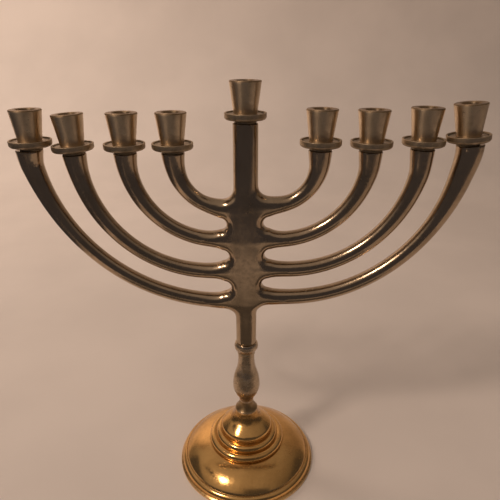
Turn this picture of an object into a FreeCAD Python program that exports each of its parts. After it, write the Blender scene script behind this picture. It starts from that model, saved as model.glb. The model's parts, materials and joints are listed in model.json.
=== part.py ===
"""A nine-branch brass menorah: a turned base and stem, one branch casting, and nine screwed-on candle cups.

Millimetres. +Z is up, +X runs to the right along the row of candles, and the origin is the centre of the
base's underside. Each sub-part is one object whose Label names its file in parts/.
"""
import FreeCAD, Part

import math
import os

import Sketcher

# ----------------------------------------------------------------------------------------------------
# Driving dimensions: name, value, what it is
# ----------------------------------------------------------------------------------------------------
DIMENSIONS = [
    # base: a hollow turned dome with a rolled rim, two steps and a bell
    ("base_foot_radius", 54.2, "outside of the base where it stands"),
    ("base_foot_edge", 1.6, "height of the straight edge at the foot"),
    ("base_rim_radius", 52.7, "root of the rolled rim above the foot"),
    ("base_rim_low", 2.6, "where the rolled rim starts"),
    ("base_rim_high", 7.2, "where the rolled rim ends"),
    ("base_rim_top_radius", 50.1, "inner end of the rolled rim"),
    ("base_rim_round", 4.0, "rounding of the rolled rim"),
    ("base_groove_radius", 49.3, "groove between the rim and the dome"),
    ("base_dome_radius", 48.6, "outer edge of the dome"),
    ("base_dome_edge", 8.5, "height of the dome's outer edge"),
    ("base_dome_top", 19.0, "height where the dome meets the first step"),
    ("base_dome_round", 34.0, "rounding of the dome"),
    ("step_low_radius", 29.2, "first step, a half-round bead"),
    ("step_low_top", 24.3, "top of the first step"),
    ("step_low_inner", 25.4, "inner edge of the first step"),
    ("step_high_radius", 24.4, "second step, a half-round bead"),
    ("step_high_top", 28.6, "top of the second step"),
    ("step_high_inner", 21.2, "inner edge of the second step"),
    ("step_round", 3.4, "rounding of both steps"),
    ("bell_radius", 20.2, "bottom of the bell"),
    ("bell_edge", 32.2, "top of the bell's upright edge"),
    ("bell_edge_round", 3.5, "rounding above that edge"),
    ("bell_slope_radius", 18.9, "where the rounding runs into the bell's slope"),
    ("bell_slope", 34.9, "height of that"),
    ("bell_slope_round", 60.0, "swell of the slope"),
    ("bell_shoulder_radius", 13.2, "where the slope turns into the hollow curve"),
    ("bell_shoulder", 39.5, "height of that turn"),
    ("bell_neck_radius", 8.8, "top of the bell"),
    ("bell_neck", 48.0, "height where the bell's hollow curve ends"),
    ("bell_hollow_round", 12.0, "rounding of the hollow curve"),
    ("base_top", 48.6, "height of the face the stem stands on"),
    ("base_wall", 4.2, "width of the ring the base stands on"),
    ("cavity_dome_radius", 46.0, "hollow under the dome"),
    ("cavity_dome_low", 5.8, "height of the hollow at its edge"),
    ("cavity_dome_top", 15.6, "height of the hollow at the steps"),
    ("cavity_step_radius", 26.0, "hollow under the steps"),
    ("cavity_bell_low", 25.4, "height of the hollow at the bell"),
    ("cavity_bell_radius", 16.4, "hollow inside the bell"),
    ("cavity_ceiling_radius", 11.0, "flat ceiling the washer bears on"),
    ("cavity_ceiling", 36.0, "height of that ceiling"),
    # base bolt and washer
    ("bolt_radius", 3.0, "base bolt, nominal six millimetres"),
    ("bolt_clearance", 0.3, "radial play of the bolt in the base"),
    ("bolt_thread_depth", 13.0, "how far the bolt reaches into the stem"),
    ("bolt_head_radius", 5.77, "across the corners of the hexagon, halved"),
    ("bolt_head_height", 4.0, "bolt head"),
    ("washer_radius", 9.0, "washer under the bolt head"),
    ("washer_thickness", 1.6, "washer under the bolt head"),
    # stem: a turned baluster with a collar that the branch casting sits in
    ("stem_foot_radius", 8.8, "ring at the stem's foot"),
    ("stem_foot_top", 49.4, "top of that ring"),
    ("stem_foot_round", 10.9, "hollow curve from the ring up to the neck"),
    ("stem_low_neck_radius", 5.5, "neck below the baluster"),
    ("stem_low_neck", 57.0, "height of that neck"),
    ("stem_low_neck_round", 9.4, "hollow curve from the neck up to the belly"),
    ("stem_swell_radius", 7.2, "where the hollow curve turns into the belly"),
    ("stem_swell", 62.4, "height of that turn"),
    ("stem_belly_radius", 10.35, "widest part of the baluster"),
    ("stem_belly", 72.2, "height of the widest part"),
    ("stem_belly_round", 16.8, "rounding below the widest part"),
    ("stem_taper_radius", 8.3, "where the belly runs into the taper"),
    ("stem_taper", 84.4, "height where the taper starts"),
    ("stem_taper_round", 37.3, "rounding above the widest part"),
    ("stem_high_neck_radius", 6.15, "neck below the collar"),
    ("stem_high_neck", 97.0, "height of that neck"),
    ("stem_high_neck_round", 38.0, "hollow curve of the upper taper"),
    ("stem_ring_radius", 6.6, "small ring under the collar"),
    ("stem_ring_low", 101.1, "underside of the small ring"),
    ("stem_ring_high", 102.3, "top of the small ring"),
    ("collar_low_radius", 6.4, "underside of the collar"),
    ("collar_low", 103.4, "height of the collar's underside"),
    ("collar_top_radius", 8.0, "outer edge of the collar's lip"),
    ("collar_top", 111.0, "top of the collar's lip"),
    ("collar_round", 5.6, "rounding of the collar"),
    ("collar_recess_radius", 7.1, "recess the column stands in"),
    ("collar_recess_depth", 2.5, "depth of the recess"),
    # threaded stud between the stem and the branch casting
    ("column_stud_radius", 4.0, "nominal eight millimetres"),
    ("column_stud_low", 16.0, "length screwed into the stem"),
    ("column_stud_high", 14.0, "length held in the column"),
    ("thread_play", 0.05, "radial play of a threaded stud, modelled as plain cylinders"),
    ("hole_end_play", 0.5, "extra depth at the blind end of a threaded hole"),
    # branch casting: the column
    ("column_foot_radius", 6.6, "column where it stands in the collar"),
    ("column_low_radius", 6.9, "column below the lowest arms"),
    ("column_low", 130.0, "height of that"),
    ("column_high_radius", 7.7, "column above the highest arms"),
    ("column_high", 232.0, "height of that"),
    ("column_tip_radius", 7.5, "column under the middle pan"),
    # branch casting: the arms, numbered from the inside out, each side as it was cast
    ("arm_left_four_reach", 137.9, "column axis to the axis of the candle"),
    ("arm_left_three_reach", 110.9, "column axis to the axis of the candle"),
    ("arm_left_two_reach", 77.4, "column axis to the axis of the candle"),
    ("arm_left_one_reach", 46.5, "column axis to the axis of the candle"),
    ("arm_right_one_reach", 47.3, "column axis to the axis of the candle"),
    ("arm_right_two_reach", 79.0, "column axis to the axis of the candle"),
    ("arm_right_three_reach", 111.1, "column axis to the axis of the candle"),
    ("arm_right_four_reach", 138.0, "column axis to the axis of the candle"),
    ("arm_left_four_bend", 124.7, "radius of the arm's quarter circle"),
    ("arm_left_three_bend", 84.6, "radius of the arm's quarter circle"),
    ("arm_left_two_bend", 58.0, "radius of the arm's quarter circle"),
    ("arm_left_one_bend", 32.0, "radius of the arm's quarter circle"),
    ("arm_right_one_bend", 29.8, "radius of the arm's quarter circle"),
    ("arm_right_two_bend", 59.0, "radius of the arm's quarter circle"),
    ("arm_right_three_bend", 85.0, "radius of the arm's quarter circle"),
    ("arm_right_four_bend", 112.8, "radius of the arm's quarter circle"),
    ("arm_left_four_run", 17.4, "column axis to the start of the bend"),
    ("arm_left_three_run", 25.9, "column axis to the start of the bend"),
    ("arm_left_two_run", 19.6, "column axis to the start of the bend"),
    ("arm_left_one_run", 14.0, "column axis to the start of the bend"),
    ("arm_right_one_run", 17.6, "column axis to the start of the bend"),
    ("arm_right_two_run", 20.8, "column axis to the start of the bend"),
    ("arm_right_three_run", 27.6, "column axis to the start of the bend"),
    ("arm_right_four_run", 27.1, "column axis to the start of the bend"),
    ("arm_left_four_root", 146.0, "height of the arm's axis at the column"),
    ("arm_left_three_root", 169.6, "height of the arm's axis at the column"),
    ("arm_left_two_root", 193.5, "height of the arm's axis at the column"),
    ("arm_left_one_root", 216.0, "height of the arm's axis at the column"),
    ("arm_right_one_root", 218.2, "height of the arm's axis at the column"),
    ("arm_right_two_root", 194.0, "height of the arm's axis at the column"),
    ("arm_right_three_root", 171.6, "height of the arm's axis at the column"),
    ("arm_right_four_root", 149.7, "height of the arm's axis at the column"),
    ("arm_root_radius", 5.7, "arm at the column"),
    ("arm_run_radius", 5.5, "arm at the start of the bend"),
    ("arm_slim_radius", 5.1, "arm where it is thinnest"),
    ("arm_mid_radius", 5.4, "arm two thirds of the way round the bend"),
    ("arm_flare_radius", 6.2, "arm where it flares"),
    ("arm_tip_radius", 7.6, "arm under the pan"),
    ("arm_four_swell", 0.9, "extra radius of the outermost arms, at the flare and the tip"),
    ("arm_four_outset", 1.6, "how far the outermost arms end outside their candles' axes"),
    ("arm_slim_turn", 30.0, "degrees round the bend"),
    ("arm_mid_turn", 58.0, "degrees round the bend"),
    ("arm_flare_turn", 77.0, "degrees round the bend"),
    # branch casting: the web that rounds the corners between arms and column
    ("web_thickness", 6.4, "front to back"),
    ("web_half_width", 19.6, "column axis to the edge of the plate, inside the arms"),
    ("web_slot_round", 8.5, "rounded end of the slot between two arms"),
    ("web_root_radius", 6.6, "column axis to the ends of the plate, inside the column"),
    ("web_corner_radius", 9.6, "rounded corners below the lowest arms and above the highest"),
    # height of each pan's rim, and how far each tip leans away from the column, in degrees
    ("rim_left_four", 260.4, "height of the pan's rim"),
    ("rim_left_three", 257.8, "height of the pan's rim"),
    ("rim_left_two", 258.7, "height of the pan's rim"),
    ("rim_left_one", 259.1, "height of the pan's rim"),
    ("rim_middle", 277.9, "height of the pan's rim"),
    ("rim_right_one", 261.5, "height of the pan's rim"),
    ("rim_right_two", 261.1, "height of the pan's rim"),
    ("rim_right_three", 262.5, "height of the pan's rim"),
    ("rim_right_four", 265.3, "height of the pan's rim"),
    ("lean_left_three", -3.0, "degrees about Y, negative tips the cup to the left"),
    ("lean_right_four", -5.0, "degrees about Y, negative tips the cup to the left"),
    # drip pan
    ("pan_radius", 13.2, "outside of the pan's rim"),
    ("pan_thickness", 4.1, "rim to underside"),
    ("pan_edge", 2.4, "straight part of the pan's edge"),
    ("pan_under_radius", 12.0, "flat underside"),
    ("pan_under_round", 1.8, "rounding under the edge"),
    ("pan_rim_width", 1.1, "width of the raised rim"),
    ("pan_dish_depth", 0.8, "rim to the floor of the dish"),
    ("pan_dish_slope", 0.4, "how far the inside of the rim slopes"),
    ("pan_boss_radius", 7.0, "boss that stands on the arm"),
    ("pan_boss_height", 2.2, "height of that boss"),
    ("pan_hole_radius", 2.8, "hole for the cup's stud"),
    # candle cup
    ("cup_foot_radius", 7.4, "bottom of the cup"),
    ("cup_rim_radius", 10.0, "top of the cup"),
    ("cup_tall", 19.6, "bottom to rim"),
    ("cup_bore_radius", 5.25, "socket for the candle"),
    ("cup_bore_depth", 13.0, "depth of the socket"),
    ("cup_edge", 0.4, "chamfer at the rim and at the mouth of the socket"),
    # threaded stud under each cup
    ("cup_stud_radius", 2.5, "nominal five millimetres"),
    ("cup_stud_high", 4.6, "length held in the cup"),
    ("cup_stud_low", 8.0, "length screwed into the arm"),
    ("stud_chamfer", 0.4, "chamfer at both ends of every stud"),
]

SHEET = "Sizes"
doc = FreeCAD.newDocument("Menorah")


class Size:
    """A length with its present value and the spreadsheet expression that gives it."""

    def __init__(self, value, text):
        self.value = value
        self.text = text

    @staticmethod
    def of(other):
        if isinstance(other, Size):
            return other
        return Size(float(other), repr(float(other)))

    def join(self, sign, other, value):
        return Size(value, "(%s %s %s)" % (self.text, sign, Size.of(other).text))

    def __add__(self, other):
        return self.join("+", other, self.value + Size.of(other).value)

    def __sub__(self, other):
        return self.join("-", other, self.value - Size.of(other).value)

    def __mul__(self, other):
        return self.join("*", other, self.value * Size.of(other).value)

    def __neg__(self):
        return self * -1.0


def sine(angle):
    return Size(math.sin(math.radians(angle.value)), "sin(%s * 1 deg)" % angle.text)


def cosine(angle):
    return Size(math.cos(math.radians(angle.value)), "cos(%s * 1 deg)" % angle.text)


def make_sheet():
    """The spreadsheet: one row per driving dimension."""
    sheet = doc.addObject("Spreadsheet::Sheet", SHEET)
    for row, (name, value, note) in enumerate(DIMENSIONS, start=1):
        sheet.set("A%d" % row, name)
        sheet.set("B%d" % row, str(value))
        sheet.set("C%d" % row, note)
        sheet.setAlias("B%d" % row, name)
    doc.recompute()
    return {name: Size(value, "%s.%s" % (SHEET, name)) for name, value, note in DIMENSIONS}


size = make_sheet()
ZERO = Size(0.0, "0")


def bind(thing, path, length):
    """Tie one property of an object to the sheet."""
    thing.setExpression(path, length.text)


# ----------------------------------------------------------------------------------------------------
# Helpers: bodies, sketches and features
# ----------------------------------------------------------------------------------------------------
def new_body(name):
    body = doc.addObject("PartDesign::Body", name)
    body.Label = name
    return body


def origin_plane(body, role):
    return next(item for item in body.Origin.OriginFeatures if item.Role == role)


def new_sketch(body, name, role, across=ZERO, up=ZERO, turn=ZERO):
    """A sketch on one of the body's own planes, moved by (across, 0, up) and turned about Y."""
    sketch = body.newObject("Sketcher::SketchObject", name)
    sketch.AttachmentSupport = (origin_plane(body, role), [""])
    sketch.MapMode = "FlatFace"
    spin = FreeCAD.Rotation(FreeCAD.Vector(0, 1, 0), turn.value)
    shift = FreeCAD.Vector(across.value, 0, up.value)
    sketch.AttachmentOffset = FreeCAD.Placement(shift, spin)
    bind(sketch, "AttachmentOffset.Base.x", across)
    bind(sketch, "AttachmentOffset.Base.z", up)
    bind(sketch, "AttachmentOffset.Rotation.Angle", turn)
    return sketch


def hold_point(sketch, geometry, end, across, up):
    """Fix one end of a sketch line or arc, with both distances tied to the sheet."""
    for kind, axis_line, length in (("DistanceX", -2, across), ("DistanceY", -1, up)):
        if length is ZERO:
            sketch.addConstraint(Sketcher.Constraint("PointOnObject", geometry, end, axis_line))
            continue
        index = sketch.addConstraint(Sketcher.Constraint(kind, -1, 1, geometry, end, length.value))
        bind(sketch, "Constraints[%d]" % index, length)


def add_arc(sketch, start, finish, bend, side):
    """An arc between two points. side +1 turns left on the way and -1 turns right."""
    first = FreeCAD.Vector(start[0].value, start[1].value, 0)
    last = FreeCAD.Vector(finish[0].value, finish[1].value, 0)
    chord = last - first
    rise = math.sqrt(max(0.0, bend.value ** 2 - (chord.Length / 2) ** 2))
    normal = FreeCAD.Vector(-chord.y, chord.x, 0).normalize()
    centre = (first + last) * 0.5 + normal * rise * side
    if side < 0:
        first, last = last, first
    begin = math.atan2(first.y - centre.y, first.x - centre.x)
    end = math.atan2(last.y - centre.y, last.x - centre.x)
    if end < begin:
        end += 2 * math.pi
    circle = Part.Circle(centre, FreeCAD.Vector(0, 0, 1), bend.value)
    geometry = sketch.addGeometry(Part.ArcOfCircle(circle, begin, end), False)
    index = sketch.addConstraint(Sketcher.Constraint("Radius", geometry, bend.value))
    bind(sketch, "Constraints[%d]" % index, bend)
    return (geometry, 1, 2) if side > 0 else (geometry, 2, 1)


def outline(sketch, start, steps):
    """A closed outline from start through each step, (across, up) or (across, up, bend, side)."""
    corners = [start] + [step[:2] for step in steps]
    pieces = []
    for here, step in zip(corners, steps):
        if len(step) == 4:
            pieces.append(add_arc(sketch, here, step[:2], step[2], step[3]))
            continue
        first = FreeCAD.Vector(here[0].value, here[1].value, 0)
        last = FreeCAD.Vector(step[0].value, step[1].value, 0)
        pieces.append((sketch.addGeometry(Part.LineSegment(first, last), False), 1, 2))
    for (geometry, begin, end), (after, after_begin, after_end) in zip(pieces, pieces[1:] + pieces[:1]):
        sketch.addConstraint(Sketcher.Constraint("Coincident", geometry, end, after, after_begin))
    for (geometry, begin, end), corner in zip(pieces, corners):
        hold_point(sketch, geometry, begin, corner[0], corner[1])


def add_circle(sketch, radius, across=ZERO, up=ZERO):
    """A circle with its centre and radius tied to the sheet."""
    centre = FreeCAD.Vector(across.value, up.value, 0)
    circle = Part.Circle(centre, FreeCAD.Vector(0, 0, 1), radius.value)
    geometry = sketch.addGeometry(circle, False)
    index = sketch.addConstraint(Sketcher.Constraint("Radius", geometry, radius.value))
    bind(sketch, "Constraints[%d]" % index, radius)
    hold_point(sketch, geometry, 3, across, up)


def revolve(body, name, start, steps):
    """Turn an outline of (radius, height) points about the body's Z axis."""
    sketch = new_sketch(body, name + "_outline", "XZ_Plane")
    outline(sketch, start, steps)
    feature = body.newObject("PartDesign::Revolution", name)
    feature.Profile = sketch
    feature.ReferenceAxis = (sketch, ["V_Axis"])
    feature.Angle = 360
    doc.recompute()
    return feature


def cut_checked(body, feature):
    """Recompute, and stop if the cut removed nothing."""
    before = feature.BaseFeature.Shape.Volume
    doc.recompute()
    if feature.Shape.Volume > before - 1.0:
        raise RuntimeError("%s cut nothing from %s" % (feature.Name, body.Label))


def drill(body, name, radius, depth, across=ZERO, up=ZERO, lean=ZERO, upward=False):
    """A blind round hole that starts at (across, up): down into the piece, or up into it."""
    sketch = new_sketch(body, name + "_circle", "XY_Plane", across, up, lean)
    add_circle(sketch, radius)
    pocket = body.newObject("PartDesign::Pocket", name)
    pocket.Profile = sketch
    pocket.Reversed = upward
    bind(pocket, "Length", depth)
    cut_checked(body, pocket)


# ----------------------------------------------------------------------------------------------------
# Stand: base, washer, bolt and stem
# ----------------------------------------------------------------------------------------------------
def make_base():
    """The turned dome, hollow underneath, with a hole for the bolt through the top of its bell."""
    s = size
    body = new_body("base")
    foot = (s["base_foot_radius"], ZERO)
    steps = [
        (s["base_foot_radius"], s["base_foot_edge"]),
        (s["base_rim_radius"], s["base_rim_low"]),
        (s["base_rim_top_radius"], s["base_rim_high"], s["base_rim_round"], 1),
        (s["base_groove_radius"], s["base_rim_high"]),
        (s["base_dome_radius"], s["base_dome_edge"]),
        (s["step_low_radius"], s["base_dome_top"], s["base_dome_round"], 1),
        (s["step_low_inner"], s["step_low_top"], s["step_round"], 1),
        (s["step_high_radius"], s["step_low_top"]),
        (s["step_high_inner"], s["step_high_top"], s["step_round"], 1),
        (s["bell_radius"], s["step_high_top"]),
        (s["bell_radius"], s["bell_edge"]),
        (s["bell_slope_radius"], s["bell_slope"], s["bell_edge_round"], 1),
        (s["bell_shoulder_radius"], s["bell_shoulder"], s["bell_slope_round"], 1),
        (s["bell_neck_radius"], s["bell_neck"], s["bell_hollow_round"], -1),
        (s["bell_neck_radius"], s["base_top"]),
        (ZERO, s["base_top"]),
        (ZERO, s["cavity_ceiling"]),
        (s["cavity_ceiling_radius"], s["cavity_ceiling"]),
        (s["cavity_bell_radius"], s["cavity_bell_low"]),
        (s["cavity_step_radius"], s["cavity_dome_top"]),
        (s["cavity_dome_radius"], s["cavity_dome_low"]),
        (s["base_foot_radius"] - s["base_wall"], ZERO),
        foot,
    ]
    revolve(body, "base_turning", foot, steps)
    hole = s["bolt_radius"] + s["bolt_clearance"]
    drill(body, "bolt_hole", hole, s["base_top"] - s["cavity_ceiling"] + 1.0, up=s["base_top"])
    return body


def make_washer():
    """The flat washer between the bolt head and the ceiling of the base."""
    s = size
    disc = doc.addObject("Part::Cylinder", "washer_disc")
    bind(disc, "Radius", s["washer_radius"])
    bind(disc, "Height", s["washer_thickness"])
    hole = doc.addObject("Part::Cylinder", "washer_hole")
    bind(hole, "Radius", s["bolt_radius"] + s["bolt_clearance"])
    bind(hole, "Height", s["washer_thickness"])
    washer = doc.addObject("Part::Cut", "base_washer")
    washer.Base = disc
    washer.Tool = hole
    washer.Label = "base_washer"
    bind(washer, "Placement.Base.z", s["cavity_ceiling"] - s["washer_thickness"])
    return washer


def make_bolt():
    """The hexagon bolt that holds the stem down on the base, from underneath."""
    s = size
    head = doc.addObject("Part::Prism", "bolt_head")
    head.Polygon = 6
    bind(head, "Circumradius", s["bolt_head_radius"])
    bind(head, "Height", s["bolt_head_height"])
    shank = doc.addObject("Part::Cylinder", "bolt_shank")
    bind(shank, "Radius", s["bolt_radius"])
    grip = s["washer_thickness"] + s["base_top"] - s["cavity_ceiling"]
    bind(shank, "Height", s["bolt_head_height"] + grip + s["bolt_thread_depth"])
    bolt = doc.addObject("Part::Fuse", "base_bolt")
    bolt.Base = head
    bolt.Tool = shank
    bolt.Label = "base_bolt"
    underside = s["cavity_ceiling"] - s["washer_thickness"] - s["bolt_head_height"]
    bind(bolt, "Placement.Base.z", underside)
    return bolt


def make_stem():
    """The turned baluster. Its collar has a recess and a threaded socket for the branch casting."""
    s = size
    body = new_body("stem")
    centre = (ZERO, s["base_top"])
    steps = [
        (s["stem_foot_radius"], s["base_top"]),
        (s["stem_foot_radius"], s["stem_foot_top"]),
        (s["stem_low_neck_radius"], s["stem_low_neck"], s["stem_foot_round"], -1),
        (s["stem_swell_radius"], s["stem_swell"], s["stem_low_neck_round"], -1),
        (s["stem_belly_radius"], s["stem_belly"], s["stem_belly_round"], 1),
        (s["stem_taper_radius"], s["stem_taper"], s["stem_taper_round"], 1),
        (s["stem_high_neck_radius"], s["stem_high_neck"], s["stem_high_neck_round"], -1),
        (s["stem_high_neck_radius"], s["stem_ring_low"]),
        (s["stem_ring_radius"], s["stem_ring_low"]),
        (s["stem_ring_radius"], s["stem_ring_high"]),
        (s["collar_low_radius"], s["collar_low"]),
        (s["collar_top_radius"], s["collar_top"], s["collar_round"], 1),
        (s["collar_recess_radius"], s["collar_top"]),
        (s["collar_recess_radius"], s["collar_top"] - s["collar_recess_depth"]),
        (ZERO, s["collar_top"] - s["collar_recess_depth"]),
        centre,
    ]
    revolve(body, "stem_turning", centre, steps)
    bolt_depth = s["bolt_thread_depth"] + s["hole_end_play"]
    drill(body, "bolt_thread", s["bolt_radius"] + s["thread_play"], bolt_depth, up=s["base_top"], upward=True)
    seat = s["collar_top"] - s["collar_recess_depth"]
    socket_depth = s["column_stud_low"] + s["hole_end_play"]
    drill(body, "socket_thread", s["column_stud_radius"] + s["thread_play"], socket_depth, up=seat)
    return body


def make_stud(name, radius, low, high):
    """A threaded stud as a plain cylinder with chamfered ends, from -low to +high along its axis."""
    chamfer = size["stud_chamfer"]
    body = new_body(name)
    start = (ZERO, -low)
    steps = [
        (radius - chamfer, -low),
        (radius, chamfer - low),
        (radius, high - chamfer),
        (radius - chamfer, high),
        (ZERO, high),
        start,
    ]
    revolve(body, name + "_turning", start, steps)
    return body


def make_column_stud():
    """The stud that joins the stem and the column."""
    s = size
    body = make_stud("column_stud", s["column_stud_radius"], s["column_stud_low"], s["column_stud_high"])
    bind(body, "Placement.Base.z", s["collar_top"] - s["collar_recess_depth"])
    return body


# ----------------------------------------------------------------------------------------------------
# Where the nine candles stand
# ----------------------------------------------------------------------------------------------------
NUMBERS = ["one", "two", "three", "four"]

# The web's plate ends inside the arms, this part of an arm's radius from its axis.
WEB_BURIED = 0.6


class Tip:
    """The end of one arm, or of the column: its side (-1, 0 or 1) and the seat that the pan stands on."""

    def __init__(self, name, side, number):
        self.name = name
        self.side = side
        self.number = number
        self.rim = size["rim_" + name]
        self.lean = size.get("lean_" + name, ZERO)
        self.reach = ZERO
        if side:
            self.reach = size["arm_%s_reach" % name] * side
        drop = size["pan_thickness"] + size["pan_boss_height"]
        self.seat_across = self.reach
        self.seat_up = self.rim - drop
        if self.lean is not ZERO:
            self.seat_across = self.reach - drop * sine(self.lean)
            self.seat_up = self.rim - drop * cosine(self.lean)

    def place(self, piece, above_seat):
        """Stand a piece on this tip's axis, its own origin this far above the seat."""
        across = self.seat_across
        up = self.seat_up + above_seat
        if self.lean is not ZERO:
            across = self.seat_across + above_seat * sine(self.lean)
            up = self.seat_up + above_seat * cosine(self.lean)
        spin = FreeCAD.Rotation(FreeCAD.Vector(0, 1, 0), self.lean.value)
        piece.Placement = FreeCAD.Placement(FreeCAD.Vector(across.value, 0, up.value), spin)
        bind(piece, "Placement.Base.x", across)
        bind(piece, "Placement.Base.z", up)
        if self.lean is not ZERO:
            bind(piece, "Placement.Rotation.Angle", self.lean)


TIPS = [Tip("left_" + number, -1, number) for number in reversed(NUMBERS)]
TIPS += [Tip("middle", 0, None)]
TIPS += [Tip("right_" + number, 1, number) for number in NUMBERS]


# ----------------------------------------------------------------------------------------------------
# Branch casting
# ----------------------------------------------------------------------------------------------------
def add_column(body):
    """The upright of the casting, from the collar to the middle pan."""
    s = size
    seat = s["collar_top"] - s["collar_recess_depth"]
    top = s["rim_middle"] - s["pan_thickness"] - s["pan_boss_height"]
    start = (ZERO, seat)
    steps = [
        (s["column_foot_radius"], seat),
        (s["column_low_radius"], s["column_low"]),
        (s["column_high_radius"], s["column_high"]),
        (s["column_tip_radius"], top),
        (ZERO, top),
        start,
    ]
    revolve(body, "column_turning", start, steps)


def add_web(body):
    """The plate that fills the corners between arms and column and rounds the ends of the slots."""
    s = size
    half = s["web_half_width"]
    inside = s["web_root_radius"]
    corner = s["web_corner_radius"]
    buried = s["arm_run_radius"] * WEB_BURIED
    roots = []
    for number in reversed(NUMBERS):
        roots.append((s["arm_left_%s_root" % number] + s["arm_right_%s_root" % number]) * 0.5)
    lowest = roots[0] - buried - corner
    highest = roots[-1] + buried + corner

    right = [(inside, lowest), (inside + corner, roots[0] - buried, corner, -1), (half, roots[0] - buried)]
    for lower, upper in zip(roots, roots[1:]):
        right.append((half, lower + buried))
        right.append((half, upper - buried, s["web_slot_round"], -1))
    right += [(half, roots[-1] + buried), (inside + corner, roots[-1] + buried), (inside, highest, corner, -1)]

    left = [(-inside, highest)]
    for here, after in zip(reversed(right[:-1]), reversed(right)):
        left.append((-here[0], here[1]) + after[2:])

    plate = new_sketch(body, "web_outline", "XZ_Plane")
    outline(plate, right[0], right[1:] + left + [right[0]])
    pad = body.newObject("PartDesign::Pad", "web_plate")
    pad.Profile = plate
    pad.Midplane = True
    bind(pad, "Length", s["web_thickness"])
    doc.recompute()


def add_arm(body, tip):
    """One arm: a run out of the column, a quarter circle, and a flare up to the pan's seat."""
    s = size
    side = tip.side
    run = s["arm_%s_run" % tip.name]
    bend = s["arm_%s_bend" % tip.name]
    root = s["arm_%s_root" % tip.name]
    sections = []

    def section(label, radius, across, up, turn):
        """A round section at (across, up), square to the arm, on a plane turned about Y."""
        sketch = new_sketch(body, "arm_%s_%s" % (tip.name, label), "XY_Plane", across, up, turn)
        add_circle(sketch, radius)
        sections.append(sketch)

    swell = ZERO
    end_across = tip.seat_across
    if tip.number == "four":
        swell = s["arm_four_swell"]
        end_across = tip.seat_across + s["arm_four_outset"] * side
    upright = Size(90.0, "90")
    section("root", s["arm_root_radius"], ZERO, root, upright * side)
    section("run", s["arm_run_radius"], run * side, root, upright * side)
    for label in ("slim", "mid", "flare"):
        radius = s["arm_%s_radius" % label]
        if label == "flare":
            radius = radius + swell
        turn = s["arm_%s_turn" % label]
        across = (run + bend * sine(turn)) * side
        up = root + bend - bend * cosine(turn)
        section(label, radius, across, up, (upright - turn) * side)
    section("tip", s["arm_tip_radius"] + swell, end_across, tip.seat_up, tip.lean)

    loft = body.newObject("PartDesign::AdditiveLoft", "arm_" + tip.name)
    loft.Profile = sections[0]
    loft.Sections = [(sketch, [""]) for sketch in sections[1:]]
    loft.Ruled = False
    doc.recompute()


def make_branch_casting():
    """Column, web and eight arms in one piece, drilled for the studs."""
    s = size
    body = new_body("branch_casting")
    add_column(body)
    add_web(body)
    for tip in TIPS:
        if tip.side:
            add_arm(body, tip)
    seat = s["collar_top"] - s["collar_recess_depth"]
    foot_depth = s["column_stud_high"] + s["hole_end_play"]
    foot_radius = s["column_stud_radius"] + s["thread_play"]
    drill(body, "foot_thread", foot_radius, foot_depth, up=seat, upward=True)
    tip_radius = s["cup_stud_radius"] + s["thread_play"]
    tip_depth = s["cup_stud_low"] + s["hole_end_play"]
    for tip in TIPS:
        drill(body, "tip_thread_" + tip.name, tip_radius, tip_depth, tip.seat_across, tip.seat_up, tip.lean)
    return body


# ----------------------------------------------------------------------------------------------------
# Pans, cups and their studs
# ----------------------------------------------------------------------------------------------------
def make_pan(tip):
    """A drip pan: a shallow dish with a raised rim, and a boss under it that stands on the arm."""
    s = size
    body = new_body("drip_pan_" + tip.name)
    boss = s["pan_boss_height"]
    rim = boss + s["pan_thickness"]
    floor = rim - s["pan_dish_depth"]
    lip = s["pan_radius"] - s["pan_rim_width"]
    start = (s["pan_hole_radius"], ZERO)
    steps = [
        (s["pan_boss_radius"], ZERO),
        (s["pan_boss_radius"], boss),
        (s["pan_under_radius"], boss),
        (s["pan_radius"], rim - s["pan_edge"], s["pan_under_round"], 1),
        (s["pan_radius"], rim),
        (lip, rim),
        (lip - s["pan_dish_slope"], floor),
        (s["pan_hole_radius"], floor),
        start,
    ]
    revolve(body, body.Label + "_turning", start, steps)
    tip.place(body, ZERO)
    return body


def make_cup_stud(tip):
    """The stud that passes through the pan: high in the cup, low in the arm, seat at its origin."""
    s = size
    through_pan = s["pan_boss_height"] + s["pan_thickness"] - s["pan_dish_depth"]
    body = make_stud(
        "cup_stud_" + tip.name, s["cup_stud_radius"], s["cup_stud_low"], through_pan + s["cup_stud_high"]
    )
    tip.place(body, ZERO)
    return body


def make_cup(tip):
    """A tapered candle cup with a blind socket above and a blind threaded hole below."""
    s = size
    body = new_body("cup_" + tip.name)
    edge = s["cup_edge"]
    tall = s["cup_tall"]
    start = (ZERO, ZERO)
    steps = [
        (s["cup_foot_radius"], ZERO),
        (s["cup_rim_radius"], tall - edge),
        (s["cup_rim_radius"] - edge, tall),
        (s["cup_bore_radius"] + edge, tall),
        (s["cup_bore_radius"], tall - edge),
        (s["cup_bore_radius"], tall - s["cup_bore_depth"]),
        (ZERO, tall - s["cup_bore_depth"]),
        start,
    ]
    revolve(body, body.Label + "_turning", start, steps)
    thread_radius = s["cup_stud_radius"] + s["thread_play"]
    drill(body, body.Label + "_thread", thread_radius, s["cup_stud_high"] + s["thread_play"], upward=True)
    tip.place(body, s["pan_boss_height"] + s["pan_thickness"] - s["pan_dish_depth"])
    return body


# ----------------------------------------------------------------------------------------------------
# Build, check and write
# ----------------------------------------------------------------------------------------------------
pieces = [make_base(), make_washer(), make_bolt(), make_stem(), make_column_stud(), make_branch_casting()]
for tip in TIPS:
    pieces += [make_pan(tip), make_cup_stud(tip), make_cup(tip)]
doc.recompute()

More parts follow.
